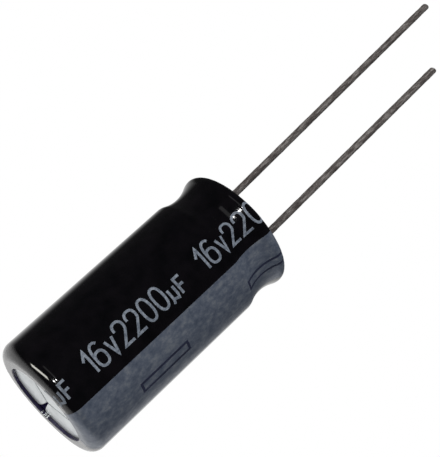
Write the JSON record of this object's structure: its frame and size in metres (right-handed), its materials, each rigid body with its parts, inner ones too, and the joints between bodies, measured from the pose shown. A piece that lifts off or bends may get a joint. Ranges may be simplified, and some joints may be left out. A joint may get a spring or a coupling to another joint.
{
  "type": "radial electrolytic capacitor",
  "caption": "Radial aluminium electrolytic capacitor: sleeved can with a scored vent end, a beaded neck, a rubber bung and two leads of unequal length.",
  "frame": {"origin": "centre of the vent end, on the plane that the capacitor stands on", "axes": "+Z along the body's axis towards the leads, -Y towards the side that the picture looks from"},
  "size_m": [0.0104, 0.0104, 0.0486],
  "materials": {
    "sleeve": "glossy black heat-shrunk film",
    "stripe_ink": "slate silver ink with a fine mottle",
    "can_metal": "bare drawn aluminium",
    "bung_rubber": "dull black rubber",
    "lead_tin": "tinned wire with fine drawing marks",
    "terminal_metal": "bare aluminium",
    "anode_foil": "dull etched foil",
    "cathode_foil": "satin etched foil",
    "paper": "paper soaked with electrolyte",
    "tape": "thin amber tape"
  },
  "bodies": {
    "root": {"sleeve": "sleeve", "polarity_stripe": "stripe_ink", "can": "can_metal", "bung": "bung_rubber", "lead_wire_positive": "lead_tin", "lead_wire_negative": "lead_tin", "terminal_positive": "terminal_metal", "terminal_negative": "terminal_metal", "anode_foil": "anode_foil", "cathode_foil": "cathode_foil", "separator_inner": "paper", "separator_outer": "paper", "winding_tape": "tape"}
  },
  "joints": []
}
